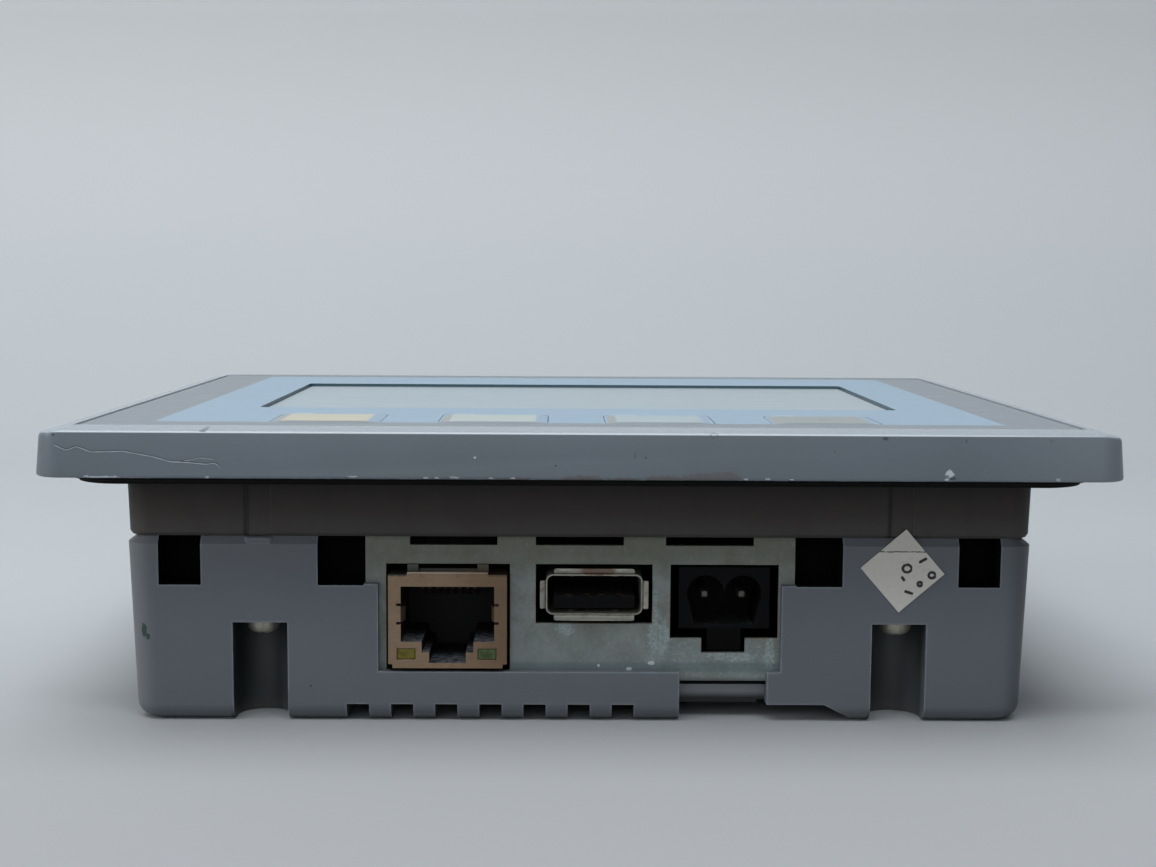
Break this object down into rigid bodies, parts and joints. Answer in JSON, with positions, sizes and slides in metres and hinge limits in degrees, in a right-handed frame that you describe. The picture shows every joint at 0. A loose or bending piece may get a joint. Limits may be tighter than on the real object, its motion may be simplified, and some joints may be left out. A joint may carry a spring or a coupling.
{
  "type": "operator panel",
  "caption": "Compact operator panel with touch display and function keys, for a panel cut-out; sealing ring, clamp recesses, and network, data and power sockets on one side.",
  "frame": {"origin": "centre of the rear face, on the plane it rests on", "axes": "+Z out of the display face, +X to the right when the display is read, -Y towards the side with the sockets"},
  "size_m": [0.141, 0.116, 0.0404],
  "materials": {
    "housing": "fine-textured moulded plastic, blue-grey",
    "cover": "fine-textured moulded plastic, darker blue-grey",
    "seal_rubber": "black foamed sealing ring",
    "foil": "satin printed polyester foil",
    "key_foil_yellow": "satin printed foil, cream yellow field",
    "key_foil_cream": "satin printed foil, greyish cream field",
    "key_foil_grey": "satin printed foil, light grey field",
    "key_foil_beige": "satin printed foil, beige-grey field",
    "dome_steel": "thin spring steel",
    "circuit_board": "green solder mask",
    "flat_cable": "off-white flat flexible cable",
    "screen": "matt touch screen over an unlit display",
    "foam": "black foam",
    "lcd_glass": "liquid crystal cell",
    "light_guide": "milky light guide",
    "sheet_steel": "pressed thin sheet steel",
    "zinc_steel": "hot-dip zinc coated sheet steel with spangle and stains",
    "screw_steel": "zinc plated steel screw",
    "brass": "turned brass",
    "chip": "black moulded package",
    "can": "drawn aluminium can",
    "ceramic_part": "small ceramic part",
    "connector_ivory": "ivory moulded plastic",
    "connector_black": "black moulded plastic",
    "socket_steel": "tin plated sheet, slightly tarnished",
    "contact_gold": "gold plated contact",
    "pin_tin": "tin plated pin",
    "lens_yellow": "clear yellow lamp lens",
    "lens_green": "clear green lamp lens",
    "label_film": "blank silver-grey label film",
    "sticker_paper": "soiled off-white sticker"
  },
  "bodies": {
    "panel": {"front_housing": "housing", "housing_collar": "housing", "mounting_seal": "seal_rubber", "front_foil": "foil", "key_dome_1": "dome_steel", "key_dome_2": "dome_steel", "key_dome_3": "dome_steel", "key_dome_4": "dome_steel", "key_board": "circuit_board", "key_flex": "flat_cable", "touch_glass": "screen", "touch_flex": "flat_cable", "display_gasket": "foam", "lcd_cell": "lcd_glass", "light_guide": "light_guide", "lcd_frame": "sheet_steel", "display_flex": "flat_cable", "display_bracket": "sheet_steel", "bracket_screws": "screw_steel", "board_standoffs": "brass", "main_board": "circuit_board", "board_screws": "screw_steel", "processor": "chip", "memory_chips": "chip", "flash_chip": "chip", "network_chip": "chip", "network_transformer": "chip", "power_inductor": "chip", "electrolytic_capacitors": "can", "backup_capacitor": "can", "clock_crystal": "can", "input_fuse": "ceramic_part", "buzzer": "connector_black", "flex_connectors": "connector_ivory", "small_components": "ceramic_part", "connector_plate": "zinc_steel", "network_shell": "socket_steel", "network_insert": "connector_black", "network_contacts": "contact_gold", "lamp_lens_left": "lens_yellow", "lamp_lens_right": "lens_green", "usb_shell": "socket_steel", "usb_tongue": "connector_black", "usb_contacts": "contact_gold", "power_header": "connector_black", "power_pins": "pin_tin", "rear_cover": "cover", "cover_screws": "screw_steel", "rating_label": "label_film", "seal_sticker": "sticker_paper"},
    "key_1": {"function_key_1": "key_foil_yellow"},
    "key_2": {"function_key_2": "key_foil_cream"},
    "key_3": {"function_key_3": "key_foil_grey"},
    "key_4": {"function_key_4": "key_foil_beige"}
  },
  "joints": [
    {"name": "key_1_press", "type": "slide", "parent": "panel", "child": "key_1", "axis": [0, 0, -1], "range_m": [0, 0.0004], "stiffness_N_per_m": 2500, "deforming": ["key_dome_1"]},
    {"name": "key_2_press", "type": "slide", "parent": "panel", "child": "key_2", "axis": [0, 0, -1], "range_m": [0, 0.0004], "stiffness_N_per_m": 2500, "deforming": ["key_dome_2"]},
    {"name": "key_3_press", "type": "slide", "parent": "panel", "child": "key_3", "axis": [0, 0, -1], "range_m": [0, 0.0004], "stiffness_N_per_m": 2500, "deforming": ["key_dome_3"]},
    {"name": "key_4_press", "type": "slide", "parent": "panel", "child": "key_4", "axis": [0, 0, -1], "range_m": [0, 0.0004], "stiffness_N_per_m": 2500, "deforming": ["key_dome_4"]}
  ]
}
